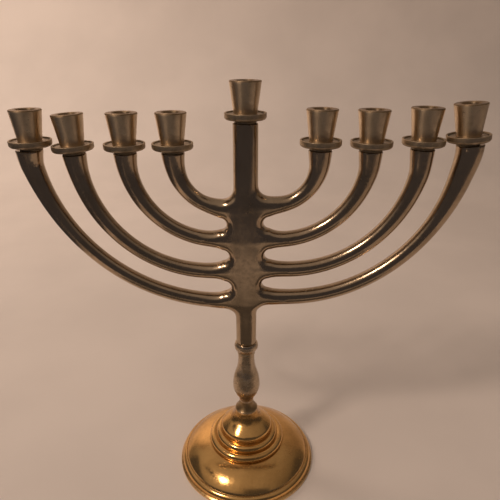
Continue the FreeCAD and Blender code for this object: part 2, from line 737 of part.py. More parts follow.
for item in doc.Objects:
    if "Invalid" in item.State or "Error" in item.State:
        raise RuntimeError("%s did not recompute: %s" % (item.Label, item.State))
for piece in pieces:
    if piece.Shape.isNull() or not piece.Shape.isValid():
        raise RuntimeError("%s has no valid shape" % piece.Label)
    if len(piece.Shape.Solids) != 1:
        raise RuntimeError("%s has %d solids" % (piece.Label, len(piece.Shape.Solids)))

os.makedirs("parts", exist_ok=True)
for piece in pieces:
    piece.Shape.exportStep("parts/%s.step" % piece.Label)
    print("%-24s %10.1f mm3" % (piece.Label, piece.Shape.Volume))
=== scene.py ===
"""The looks of a nine-branch brass menorah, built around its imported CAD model.

Metres, +Z up, in the frame of the CAD. Shapes are given in millimetres and scaled by MM.
"""

import json
import math

import bmesh
import bpy
import numpy as np
from mathutils import Matrix, Vector


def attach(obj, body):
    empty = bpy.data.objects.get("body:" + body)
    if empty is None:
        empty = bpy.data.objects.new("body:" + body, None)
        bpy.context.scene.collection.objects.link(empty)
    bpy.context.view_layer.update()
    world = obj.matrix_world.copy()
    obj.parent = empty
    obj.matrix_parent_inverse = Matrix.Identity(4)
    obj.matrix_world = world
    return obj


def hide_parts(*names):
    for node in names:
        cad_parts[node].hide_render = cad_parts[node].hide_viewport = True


MM = 0.001

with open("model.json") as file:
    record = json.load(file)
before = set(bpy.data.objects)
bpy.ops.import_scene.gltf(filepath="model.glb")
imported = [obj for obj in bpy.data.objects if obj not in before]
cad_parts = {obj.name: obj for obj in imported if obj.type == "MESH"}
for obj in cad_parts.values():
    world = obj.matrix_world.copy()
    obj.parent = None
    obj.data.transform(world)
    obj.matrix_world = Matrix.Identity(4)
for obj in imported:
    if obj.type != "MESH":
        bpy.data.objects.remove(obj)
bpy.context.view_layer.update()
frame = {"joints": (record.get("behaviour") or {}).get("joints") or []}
joints = {joint["name"]: joint for joint in frame["joints"]}

SIDES = {"left": -1, "right": 1}
NUMBERS = ["one", "two", "three", "four"]
TIPS = ["left_" + n for n in reversed(NUMBERS)] + ["middle"] + ["right_" + n for n in NUMBERS]


# ----------------------------------------------------------------------------------------------------
# Materials
# ----------------------------------------------------------------------------------------------------
class Graph:
    """A material's node tree, with short calls for the nodes used here."""

    def __init__(self, name):
        self.material = bpy.data.materials.new(name)
        self.material.use_nodes = True
        self.tree = self.material.node_tree
        self.shader = self.tree.nodes["Principled BSDF"]
        self.place = self.node("ShaderNodeTexCoord").outputs["Object"]

    def node(self, kind, **settings):
        made = self.tree.nodes.new(kind)
        for key, value in settings.items():
            setattr(made, key, value)
        return made

    def link(self, value, socket):
        """Join an output to an input, or set the input's own value."""
        if isinstance(value, bpy.types.NodeSocket):
            self.tree.links.new(value, socket)
        else:
            socket.default_value = value

    def math(self, operation, a, b=0.0, clamp=False):
        made = self.node("ShaderNodeMath", operation=operation, use_clamp=clamp)
        self.link(a, made.inputs[0])
        self.link(b, made.inputs[1])
        return made.outputs[0]

    def noise(self, scale, detail=3.0, roughness=0.55, vector=None, distortion=0.0):
        made = self.node("ShaderNodeTexNoise")
        self.link(self.place if vector is None else vector, made.inputs["Vector"])
        made.inputs["Scale"].default_value = scale
        made.inputs["Detail"].default_value = detail
        made.inputs["Roughness"].default_value = roughness
        made.inputs["Distortion"].default_value = distortion
        return made.outputs["Fac"]

    def ramp(self, value, low, high, to_low=0.0, to_high=1.0):
        made = self.node("ShaderNodeMapRange", interpolation_type="SMOOTHSTEP")
        self.link(value, made.inputs["Value"])
        made.inputs["From Min"].default_value = low
        made.inputs["From Max"].default_value = high
        made.inputs["To Min"].default_value = to_low
        made.inputs["To Max"].default_value = to_high
        return made.outputs["Result"]

    def mix(self, factor, first, second):
        made = self.node("ShaderNodeMix", data_type="RGBA")
        self.link(factor, made.inputs["Factor"])
        self.link(first, made.inputs[6])
        self.link(second, made.inputs[7])
        return made.outputs[2]

    def attribute(self, name):
        return self.node("ShaderNodeAttribute", attribute_name=name).outputs["Fac"]

    def round_place(self, along, around):
        """Coordinates that run round the piece's own Z axis, so that marks follow the turning."""
        split = self.node("ShaderNodeSeparateXYZ")
        self.link(self.place, split.inputs[0])
        x, y, z = split.outputs
        radius = self.math("SQRT", self.math("ADD", self.math("MULTIPLY", x, x), self.math("MULTIPLY", y, y)))
        angle = self.math("ARCTAN2", y, x)
        joined = self.node("ShaderNodeCombineXYZ")
        self.link(self.math("MULTIPLY", radius, along), joined.inputs[0])
        self.link(self.math("MULTIPLY", z, along), joined.inputs[1])
        self.link(self.math("MULTIPLY", self.math("ABSOLUTE", angle), around), joined.inputs[2])
        return joined.outputs[0]

    def bump(self, height, distance, normal=None):
        made = self.node("ShaderNodeBump")
        made.inputs["Strength"].default_value = 1.0
        made.inputs["Distance"].default_value = distance
        self.link(height, made.inputs["Height"])
        if normal is not None:
            self.link(normal, made.inputs["Normal"])
        return made.outputs["Normal"]


TARNISH_ROUGHNESS = 0.14
TURNED_ROUGHNESS = 0.05


def brass(
    name, clean, tarnish, worn, rough, patch_size, patch_amount, wave, pits, turned=0.0, streak=0.0, wear=0.5,
    uneven=1.0, dull_edges=0.0,
):
    """Brass with tarnish in patches and corners, painted shade in marked bands, worn edges, and the marks of
    casting or turning.

    wave and pits are the heights of slow unevenness and of fine pits, turned that of turning marks,
    all in millimetres. streak is the share of highlights stretched across the turning marks, wear
    how bright the edges are, uneven how much the polish varies from place to place, and dull_edges
    how much rougher the edges are.
    """
    g = Graph(name)
    patches = g.noise(1000.0 / patch_size, 5.0, 0.6, distortion=0.4)
    mottle = g.noise(1000.0 / 2.4, 4.0, 0.65)
    fine = g.noise(1000.0 / 0.35, 3.0, 0.6)
    round_lines = g.noise(1.0, 2.0, 0.7, g.round_place(2600.0, 1.6))

    dirt_and_shade = g.math("MULTIPLY", g.ramp(patches, 0.40, 0.68), patch_amount)
    dirt_and_shade = g.math("ADD", dirt_and_shade, g.math("MULTIPLY", g.ramp(mottle, 0.45, 0.75), patch_amount * 0.45))
    # The corner mark holds tarnish in hollows and thread roots, and on some turned pieces it holds bands of
    # painted shade.
    corner = g.math("MULTIPLY", g.attribute("corner"), g.ramp(mottle, 0.2, 0.7, 0.55, 1.0))
    dirt_and_shade = g.math("ADD", dirt_and_shade, corner, clamp=True)
    edge = g.math("MULTIPLY", g.attribute("edge"), g.ramp(mottle, 0.3, 0.6, 0.35, 1.0), clamp=True)

    colour = g.mix(dirt_and_shade, clean + (1.0,), tarnish + (1.0,))
    colour = g.mix(g.math("MULTIPLY", edge, wear), colour, worn + (1.0,))
    g.link(colour, g.shader.inputs["Base Color"])

    spread = g.ramp(mottle, 0.3, 0.7, -0.25 * uneven, 0.3 * uneven)
    roughness = g.math("MULTIPLY", g.math("ADD", spread, 1.0), rough)
    roughness = g.math("ADD", roughness, g.math("MULTIPLY", dirt_and_shade, TARNISH_ROUGHNESS))
    line_share = TURNED_ROUGHNESS if turned else 0.0
    roughness = g.math("ADD", roughness, g.math("MULTIPLY", g.ramp(round_lines, 0.35, 0.65), line_share))
    roughness = g.math("ADD", roughness, g.math("MULTIPLY", g.attribute("edge"), dull_edges))
    g.link(roughness, g.shader.inputs["Roughness"])

    normal = g.bump(g.noise(1000.0 / 9.0, 1.0, 0.4), wave * MM)
    normal = g.bump(fine, pits * MM, normal)
    if turned:
        normal = g.bump(round_lines, turned * MM, normal)
    g.link(normal, g.shader.inputs["Normal"])

    g.shader.inputs["Metallic"].default_value = 1.0
    if streak:
        g.shader.inputs["Anisotropic"].default_value = streak
        g.shader.inputs["Anisotropic Rotation"].default_value = 0.25
        tangent = g.node("ShaderNodeTangent", direction_type="RADIAL", axis="Z")
        g.link(tangent.outputs[0], g.shader.inputs["Tangent"])
    return g.material


BASE_BRASS = brass(
    "base_brass", (0.88, 0.53, 0.195), (0.50, 0.27, 0.085), (1.0, 0.75, 0.42), rough=0.13,
    patch_size=26.0, patch_amount=0.4, wave=0.010, pits=0.0008, turned=0.0016, wear=0.7,
)
STEM_BRASS = brass(
    "stem_brass", (0.54, 0.43, 0.31), (0.37, 0.25, 0.125), (0.85, 0.70, 0.50), rough=0.21,
    patch_size=14.0, patch_amount=0.4, wave=0.012, pits=0.0004, turned=0.0012, streak=0.6, wear=0.6,
    uneven=0.6,
)
BRANCH_BRASS = brass(
    "branch_brass", (0.50, 0.385, 0.265), (0.29, 0.215, 0.135), (0.8, 0.64, 0.42), rough=0.16,
    patch_size=18.0, patch_amount=0.45, wave=0.02, pits=0.0006,
)
# The dark tarnish colour also paints the shade on the pans' bosses and undersides.
PAN_BRASS = brass(
    "pan_brass", (0.50, 0.39, 0.265), (0.15, 0.112, 0.07), (0.80, 0.64, 0.43), rough=0.34,
    patch_size=5.0, patch_amount=0.5, wave=0.04, pits=0.004, turned=0.003, wear=0.4,
    dull_edges=0.1,
)
CUP_BRASS = brass(
    "cup_brass", (0.70, 0.555, 0.38), (0.34, 0.235, 0.14), (0.85, 0.67, 0.44), rough=0.28,
    patch_size=9.0, patch_amount=0.35, wave=0.015, pits=0.001, turned=0.002, streak=0.8, wear=0.15,
    uneven=0.3, dull_edges=0.3,
)
STUD_BRASS = brass(
    "stud_brass", (0.72, 0.54, 0.28), (0.30, 0.20, 0.09), (0.9, 0.72, 0.42), rough=0.26,
    patch_size=3.0, patch_amount=0.6, wave=0.01, pits=0.002,
)
BOLT_STEEL = brass(
    "bolt_steel", (0.50, 0.50, 0.51), (0.22, 0.19, 0.17), (0.7, 0.7, 0.7), rough=0.34,
    patch_size=4.0, patch_amount=0.5, wave=0.02, pits=0.008, turned=0.004,
)


# ----------------------------------------------------------------------------------------------------
# Meshes
# ----------------------------------------------------------------------------------------------------
ARC_STEP = 0.45      # millimetres along an arc
LINE_STEP = 3.0      # millimetres along a straight stretch
SHARP_TURN = 14.0    # degrees; a sharper corner is rounded
EDGE_REACH = 0.55    # millimetres of wear beside an edge
CORNER_REACH = 0.9   # millimetres of dirt beside an inner corner


def finish_mesh(name, points, faces, normals, marks, material, body, nodes, place=None):
    """Make the object, give it smooth normals and its marks, and let it stand for its CAD nodes."""
    mesh = bpy.data.meshes.new(name)
    mesh.from_pydata(np.asarray(points).tolist(), [], faces)
    for key, values in marks.items():
        layer = mesh.attributes.new(key, "FLOAT", "POINT")
        layer.data.foreach_set("value", np.asarray(values, np.float32))
    mesh.polygons.foreach_set("use_smooth", [True] * len(mesh.polygons))
    if normals is not None:
        mesh.normals_split_custom_set_from_vertices(np.asarray(normals).tolist())
    mesh.materials.append(material)
    piece = bpy.data.objects.new(name, mesh)
    bpy.context.scene.collection.objects.link(piece)
    if place is not None:
        piece.matrix_world = place
    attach(piece, body)
    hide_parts(*nodes)
    return piece


def arc_points(start, end, bend, side):
    """Points of an arc after its start. side +1 turns left on the way and -1 turns right."""
    (x0, y0), (x1, y1) = start, end
    chord = math.hypot(x1 - x0, y1 - y0)
    rise = math.sqrt(max(0.0, bend ** 2 - chord ** 2 / 4)) * side
    cx = (x0 + x1) / 2 - (y1 - y0) / chord * rise
    cy = (y0 + y1) / 2 + (x1 - x0) / chord * rise
    begin = math.atan2(y0 - cy, x0 - cx)
    end_angle = math.atan2(y1 - cy, x1 - cx)
    sweep = ((end_angle - begin) * side % (2 * math.pi)) * side
    count = max(3, math.ceil(abs(sweep) * bend / ARC_STEP))
    angles = [begin + sweep * i / count for i in range(1, count + 1)]
    return [(cx + bend * math.cos(a), cy + bend * math.sin(a)) for a in angles]


def trace(start, steps):
    """The corners and arcs of an outline as points, start first."""
    points = [start]
    for step in steps:
        if len(step) == 4:
            points += arc_points(points[-1], step[:2], step[2], step[3])
        else:
            points.append(step)
    return np.array(points)


def outline(start, steps, rounding=0.25, closed=False, dirt_and_shade=None):
    """Points, normals and edge marks of a turned outline whose solid side is on its left.

    The last argument is (low, high, amount, fade): how dark the outline is marked between two heights,
    like tarnish in a hollow, and the height over which the mark comes in. On the base's neck, the stem's
    foot and the pans' bosses this band is painted shade; on the cups' rims it is dirt.
    """
    rough_points = trace(start, steps)
    if closed and np.allclose(rough_points[0], rough_points[-1]):
        rough_points = rough_points[:-1]
    count = len(rough_points)
    points, corners = [], []
    for i, here in enumerate(rough_points):
        if not closed and i in (0, count - 1):
            points.append(here)
            continue
        before = rough_points[i - 1] - here
        after = rough_points[(i + 1) % count] - here
        length_before, length_after = np.linalg.norm(before), np.linalg.norm(after)
        turn = math.degrees(math.atan2(-before[0] * after[1] + before[1] * after[0], -before @ after))
        if abs(turn) < SHARP_TURN:
            points.append(here)
            continue
        cut = min(rounding, 0.42 * length_before, 0.42 * length_after)
        first = here + before / length_before * cut
        last = here + after / length_after * cut
        for t in (0.0, 0.25, 0.5, 0.75, 1.0):
            points.append((1 - t) ** 2 * first + 2 * t * (1 - t) * here + t * t * last)
        corners.append((here, turn))
    points = np.array(points)

    step_after = np.roll(points, -1, axis=0) - points
    if not closed:
        step_after[-1] = step_after[-2]
    step_before = np.roll(step_after, 1, axis=0)
    if not closed:
        step_before[0] = step_after[0]
    direction = step_after + step_before
    normals = np.stack([direction[:, 1], -direction[:, 0]], axis=1)
    normals /= np.linalg.norm(normals, axis=1)[:, None]

    full, full_normals = [], []
    last_index = len(points) if closed else len(points) - 1
    for i in range(last_index):
        here, after = points[i], points[(i + 1) % len(points)]
        full.append(here)
        full_normals.append(normals[i])
        length = np.linalg.norm(after - here)
        if length > 4 * EDGE_REACH:
            along = (after - here) / length
            middle = np.linspace(0.9, length - 0.9, max(2, math.ceil(length / LINE_STEP)))
            for distance in [0.35, *middle, length - 0.35]:
                full.append(here + along * distance)
                full_normals.append(np.array([along[1], -along[0]]))
    if not closed:
        full.append(points[-1])
        full_normals.append(normals[-1])
    full = np.array(full)

    edge, corner = np.zeros(len(full)), np.zeros(len(full))
    for place, turn in corners:
        distance = np.linalg.norm(full - place, axis=1)
        strength = min(1.0, abs(turn) / 60.0)
        if turn > 0:
            edge = np.maximum(edge, strength * np.exp(-((distance / EDGE_REACH) ** 2)))
        else:
            corner = np.maximum(corner, strength * np.exp(-((distance / CORNER_REACH) ** 2)))
    # The darker band goes into the corner mark: painted shade on the base's neck, the stem's foot and the
    # pans' bosses, dirt on the cups' rims.
    if dirt_and_shade is not None:
        low, high, amount, fade = dirt_and_shade
        share = np.clip((full[:, 1] - low) / fade, 0.0, 1.0) * (full[:, 1] < high)
        corner = np.maximum(corner, amount * share)
    full_normals = np.array(full_normals)
    return {"points": full, "normals": full_normals, "edge": edge, "corner": corner, "closed": closed}


def turn_solid(path, segments):
    """Points, faces, normals and marks of an outline turned about the Z axis, in metres."""
    angles = np.arange(segments) * 2 * math.pi / segments
    ring = np.stack([np.cos(angles), np.sin(angles)], axis=1)
    points, normals, rows, marks = [], [], [], {"edge": [], "corner": []}
    for (radius, height), (out, up), edge, corner in zip(
        path["points"], path["normals"], path["edge"], path["corner"]
    ):
        single = radius < 1e-6
        count = 1 if single else segments
        rows.append((len(points), single))
        for i in range(count):
            points.append((radius * ring[i][0] * MM, radius * ring[i][1] * MM, height * MM))
            flat = 0.0 if single else out
            normals.append((flat * ring[i][0], flat * ring[i][1], up))
        marks["edge"] += [edge] * count
        marks["corner"] += [corner] * count
    faces = []
    pairs = list(zip(rows, rows[1:])) + ([(rows[-1], rows[0])] if path["closed"] else [])
    for (low, low_single), (high, high_single) in pairs:
        for i in range(segments):
            j = (i + 1) % segments
            if low_single and not high_single:
                faces.append((low, high + j, high + i))
            elif high_single and not low_single:
                faces.append((low + i, low + j, high))
            elif not low_single:
                faces.append((low + i, low + j, high + j, high + i))
    return points, faces, normals, marks


def turned(name, path, segments, material, body, nodes, slot, place=None):
    points, faces, normals, marks = turn_solid(path, segments)
    return finish_mesh(name, points, faces, normals, marks, material, body, nodes, place)


# ----------------------------------------------------------------------------------------------------
# Base, washer, bolt and stem
# ----------------------------------------------------------------------------------------------------
BASE_STEPS = [
    (11.0, 36.0),
    (16.4, 25.4),
    (26.0, 15.6),
    (46.0, 5.8),
    (50.0, 0.0),
    (54.2, 0.0),
    (54.2, 1.6),
    (52.7, 2.6),
    (50.1, 7.2, 4.0, 1),
    (49.3, 7.2),
    (48.6, 8.5),
    (29.2, 19.0, 34.0, 1),
    (25.4, 24.3, 3.4, 1),
    (24.4, 24.3),
    (21.2, 28.6, 3.4, 1),
    (20.2, 28.6),
    (20.2, 32.2),
    (18.9, 34.9, 3.5, 1),
    (13.2, 39.5, 60.0, 1),
    (8.8, 48.0, 12.0, -1),
    (8.8, 48.6),
    (3.3, 48.6),
    (3.3, 36.0),
]
# The band from 38.5 to 49 mm is painted shade on the base's neck, under the stem's foot.
base_path = outline((3.3, 36.0), BASE_STEPS, closed=True, dirt_and_shade=(38.5, 49.0, 0.75, 5.0))
turned("base_turned", base_path, 288, BASE_BRASS, "stand", ["base"], "base_brass")

STEM_STEPS = [
    (8.8, 48.6),
    (8.8, 49.4),
    (5.5, 57.0, 10.9, -1),
    (7.2, 62.4, 9.4, -1),
    (10.35, 72.2, 16.8, 1),
    (8.3, 84.4, 37.3, 1),
    (6.15, 97.0, 38.0, -1),
    (6.15, 101.1),
    (6.6, 101.1),
    (6.6, 102.3),
    (6.4, 103.4),
    (8.0, 111.0, 5.6, 1),
    (7.1, 111.0),
    (7.1, 108.5),
    (4.05, 108.5),
    (4.05, 92.0),
    (0.0, 92.0),
]
STEM_STEPS_UNDER = [(3.05, 62.1), (3.05, 48.6)]
# The band from 48 to 57 mm is painted shade on the stem's foot, where it meets the base.
stem_path = outline((0.0, 62.1), STEM_STEPS_UNDER + STEM_STEPS, rounding=0.3, dirt_and_shade=(48.0, 57.0, 0.95, 0.1))
turned("stem_turned", stem_path, 160, STEM_BRASS, "stand", ["stem"], "stem_brass")

WASHER_STEPS = [(9.0, 34.4), (9.0, 36.0), (3.3, 36.0), (3.3, 34.4)]
washer_path = outline((3.3, 34.4), WASHER_STEPS, closed=True)
turned("washer_turned", washer_path, 96, BOLT_STEEL, "stand", ["base_washer"], "bolt_steel")

BOLT_CORNER = 5.77           # axis to a corner of the head
BOLT_HEAD = (                # height, and the radius the corners are turned down to
    (30.4, 4.9), (30.5, 5.0), (30.85, 5.5), (31.1, BOLT_CORNER), (34.2, BOLT_CORNER), (34.4, 5.6),
)
BOLT_SHANK_LOW = 34.4
BOLT_TOP = 61.55
BOLT_SHANK_RADIUS = 2.95
BOLT_RING_LOW = 48.8         # level rings stand for the thread above this height
BOLT_RING_ROOT = 2.62
BOLT_RING_DEPTH = 0.38
BOLT_ROW_STEP = 0.125


def hexagon_bolt():
    """A bolt whose head is a hexagon with its corners turned off. Its rings are level, not a helix."""
    across, segments = BOLT_CORNER * math.cos(math.pi / 6), 96
    angles = np.arange(segments) * 2 * math.pi / segments
    hexagon = across / np.cos((angles + math.pi / 6) % (math.pi / 3) - math.pi / 6)
    rows = []
    for height, limit in BOLT_HEAD:
        rows.append((height, np.minimum(hexagon, limit)))
    for height in np.arange(BOLT_SHANK_LOW, BOLT_TOP, BOLT_ROW_STEP):
        wave = abs(((height - BOLT_SHANK_LOW) % 1.0) - 0.5) * 2
        ringed = BOLT_RING_ROOT + BOLT_RING_DEPTH * wave
        rows.append((height, np.full(segments, ringed if height > BOLT_RING_LOW else BOLT_SHANK_RADIUS)))
    points, faces = [(0.0, 0.0, BOLT_HEAD[0][0] * MM)], []
    for height, radii in rows:
        for angle, radius in zip(angles, radii):
            points.append((radius * math.cos(angle) * MM, radius * math.sin(angle) * MM, height * MM))
    points.append((0.0, 0.0, rows[-1][0] * MM))
    for i in range(segments):
        j = (i + 1) % segments
        faces.append((0, 1 + j, 1 + i))
        top = 1 + (len(rows) - 1) * segments
        faces.append((top + i, top + j, len(points) - 1))
        for row in range(len(rows) - 1):
            low = 1 + row * segments
            faces.append((low + i, low + j, low + segments + j, low + segments + i))
    none = np.zeros(len(points))
    marks = {"edge": none, "corner": none}
    bolt = finish_mesh(
        "bolt_hexagon", points, faces, None, marks, BOLT_STEEL, "stand", ["base_bolt"]
    )
    bolt.data.set_sharp_from_angle(angle=math.radians(28))


hexagon_bolt()


# ----------------------------------------------------------------------------------------------------
# Threaded studs
# ----------------------------------------------------------------------------------------------------
THREAD_DEPTH = 0.54                                           # share of the pitch
THREAD_SHAPE = ((0.0, 0.0), (0.40, 1.0), (0.52, 1.0), (0.92, 0.0))  # share of a turn, share of the depth


def threaded_stud(name, radius, low, high, pitch, segments, body, node, place):
    """A stud with a helical thread from low to high along its axis, in millimetres."""
    depth = THREAD_DEPTH * pitch
    turns = int((high - low) / pitch) + 2
    angles = np.arange(segments) * 2 * math.pi / segments
    rise = pitch * np.arange(segments) / segments
    rows = []
    for turn in range(-1, turns):
        for phase, out in THREAD_SHAPE:
            height = np.clip(low + (turn + phase) * pitch + rise, low, high)
            inset = np.minimum(height - low, high - height)
            limit = radius - depth + np.minimum(inset, depth)
            rows.append((np.minimum(radius - depth * (1 - out), limit), height))
    points, faces = [], []
    for radii, heights in rows:
        points += [
            (r * math.cos(a) * MM, r * math.sin(a) * MM, h * MM) for r, a, h in zip(radii, angles, heights)
        ]
    for row in range(len(rows) - 1):
        for i in range(segments):
            here = row * segments + i
            if i < segments - 1:
                faces.append((here, here + 1, here + segments + 1, here + segments))
                continue
            after, above = (row + len(THREAD_SHAPE)) * segments, (row + len(THREAD_SHAPE) + 1) * segments
            if above < len(points):
                faces.append((here, after, above, here + segments))
    mesh = bpy.data.meshes.new(name)
    mesh.from_pydata(points, [], faces)
    work = bmesh.new()
    work.from_mesh(mesh)
    bmesh.ops.remove_doubles(work, verts=work.verts, dist=1e-6)
    bmesh.ops.dissolve_degenerate(work, edges=work.edges, dist=1e-7)
    bmesh.ops.holes_fill(work, edges=[e for e in work.edges if e.is_boundary], sides=0)
    bmesh.ops.recalc_face_normals(work, faces=work.faces)
    points = [tuple(v.co) for v in work.verts]
    faces = [tuple(v.index for v in f.verts) for f in work.faces]
    work.free()
    bpy.data.meshes.remove(mesh)
    out = np.hypot([p[0] for p in points], [p[1] for p in points]) / MM
    crest = np.clip((out - (radius - 0.3 * depth)) / (0.3 * depth), 0, 1)
    root = np.clip((radius - 0.7 * depth - out) / (0.3 * depth), 0, 1)
    marks = {"edge": crest, "corner": root}
    piece = finish_mesh(name, points, faces, None, marks, STUD_BRASS, body, [node], place)
    piece.data.set_sharp_from_angle(angle=math.radians(35))
    return piece


SEAT = joints["branches_unscrew"]["pos_m"][2] / MM
seat_place = Matrix.Translation((0, 0, SEAT * MM))
threaded_stud("column_stud_threaded", 4.0, -16.0, 14.0, 1.25, 48, "column_stud", "column_stud", seat_place)


# ----------------------------------------------------------------------------------------------------
# Pans, cups and their studs
# ----------------------------------------------------------------------------------------------------
PAN_THICKNESS = 4.1
PAN_BOSS = 2.2
DISH_DEPTH = 0.8
CUP_FOOT_ABOVE_SEAT = PAN_BOSS + PAN_THICKNESS - DISH_DEPTH

PAN_STEPS = [
    (7.0, 0.0),
    (7.0, 2.2),
    (12.0, 2.2),
    (13.2, 3.9, 1.8, 1),
    (13.2, 6.3),
    (12.1, 6.3),
    (11.7, 5.5),
    (2.8, 5.5),
    (2.8, 0.0),
]
CUP_STEPS = [
    (2.55, 4.65),
    (2.55, 0.0),
    (7.4, 0.0),
    (10.0, 19.2),
    (9.6, 19.6),
    (5.65, 19.6),
    (5.25, 19.2),
    (5.25, 6.6),
    (0.0, 6.6),
]


def tip_place(tip, above_seat):
    """A tip's axis as a matrix, this many millimetres above the seat that its pan stands on."""
    joint = joints["cup_%s_unscrew" % tip]
    axis = Vector(joint["axis"]).normalized()
    point = Vector(joint["pos_m"]) + axis * (above_seat - CUP_FOOT_ABOVE_SEAT) * MM
    return Matrix.Translation(point) @ axis.to_track_quat("Z", "Y").to_matrix().to_4x4()


# The band below 2.9 mm is painted shade on each pan's boss and underside, over the arm's tip.
pan_path = outline((2.8, 0.0), PAN_STEPS, rounding=0.3, closed=True, dirt_and_shade=(-1.0, 2.9, 0.9, 0.1))
cup_path = outline((0.0, 4.65), CUP_STEPS, rounding=0.16, dirt_and_shade=(19.0, 19.7, 0.85, 0.1))
for tip in TIPS:
    turned(
        "pan_%s_turned" % tip, pan_path, 112, PAN_BRASS, "branches", ["drip_pan_" + tip], "pan_brass",
        tip_place(tip, 0.0),
    )
    turned(
        "cup_%s_turned" % tip, cup_path, 112, CUP_BRASS, "cup_" + tip, ["cup_" + tip], "cup_brass",
        tip_place(tip, CUP_FOOT_ABOVE_SEAT),
    )
    threaded_stud(
        "cup_stud_%s_threaded" % tip, 2.5, -8.0, CUP_FOOT_ABOVE_SEAT + 4.6, 0.8, 28, "cup_stud_" + tip,
        "cup_stud_" + tip, tip_place(tip, 0.0),
    )


# ----------------------------------------------------------------------------------------------------
# Branch casting: one smooth skin over the column, the arms and the web between them
# ----------------------------------------------------------------------------------------------------
# arm: (reach, bend, run, root height)
ARMS = {
    "left_four": (137.9, 124.7, 17.4, 146.0),
    "left_three": (110.9, 84.6, 25.9, 169.6),
    "left_two": (77.4, 58.0, 19.6, 193.5),
    "left_one": (46.5, 32.0, 14.0, 216.0),
    "right_one": (47.3, 29.8, 17.6, 218.2),
    "right_two": (79.0, 59.0, 20.8, 194.0),
    "right_three": (111.1, 85.0, 27.6, 171.6),
    "right_four": (138.0, 112.8, 27.1, 149.7),
}
ARM_TURNS = (30.0, 58.0, 77.0)              # degrees round the bend where the radius is given
ARM_RADII = (5.7, 5.5, 5.1, 5.4, 6.2, 7.6)  # root, run, the three turns, tip
FOUR_OUTSET = 1.6
FOUR_SWELL = (0.0, 0.0, 0.0, 0.0, 0.9, 0.9)  # extra radius of the outermost arms, at the same places
COLUMN = ((108.5, 6.6), (130.0, 6.9), (232.0, 7.7), (271.6, 7.5))
WEB_ROUND = 5.4                             # half the web's thickness, rounded over at its edges
WEB_HALF_WIDTH = 26.0
WEB_SWELL = 2.0
SWELL_FLAT = 6.0
SWELL_FADE = 13.0
CORNER_ROUND = 9.6
SLOT_ENDS = {"left": (10.4, 11.6, 13.0), "right": (11.2, 12.8, 11.8)}  # lowest slot first
SLOT_ROUND = 4.4
SLOT_TAPER = 24.0
WEB_SINK = 4.0                              # how deep the web ends inside the arms
TAIL_POINTS = 50
TAIL_REACH = 36.0
CELL = 0.9


def soft_min(a, b, reach):
    """The lesser of two fields, blended where they are nearly equal."""
    blend = np.maximum(reach - np.abs(a - b), 0.0) / reach
    return np.minimum(a, b) - blend ** 3 * reach / 6


def soft_max(a, b, reach):
    return -soft_min(-a, -b, reach)


def smooth(t):
    t = np.clip(t, 0.0, 1.0)
    return t * t * (3 - 2 * t)


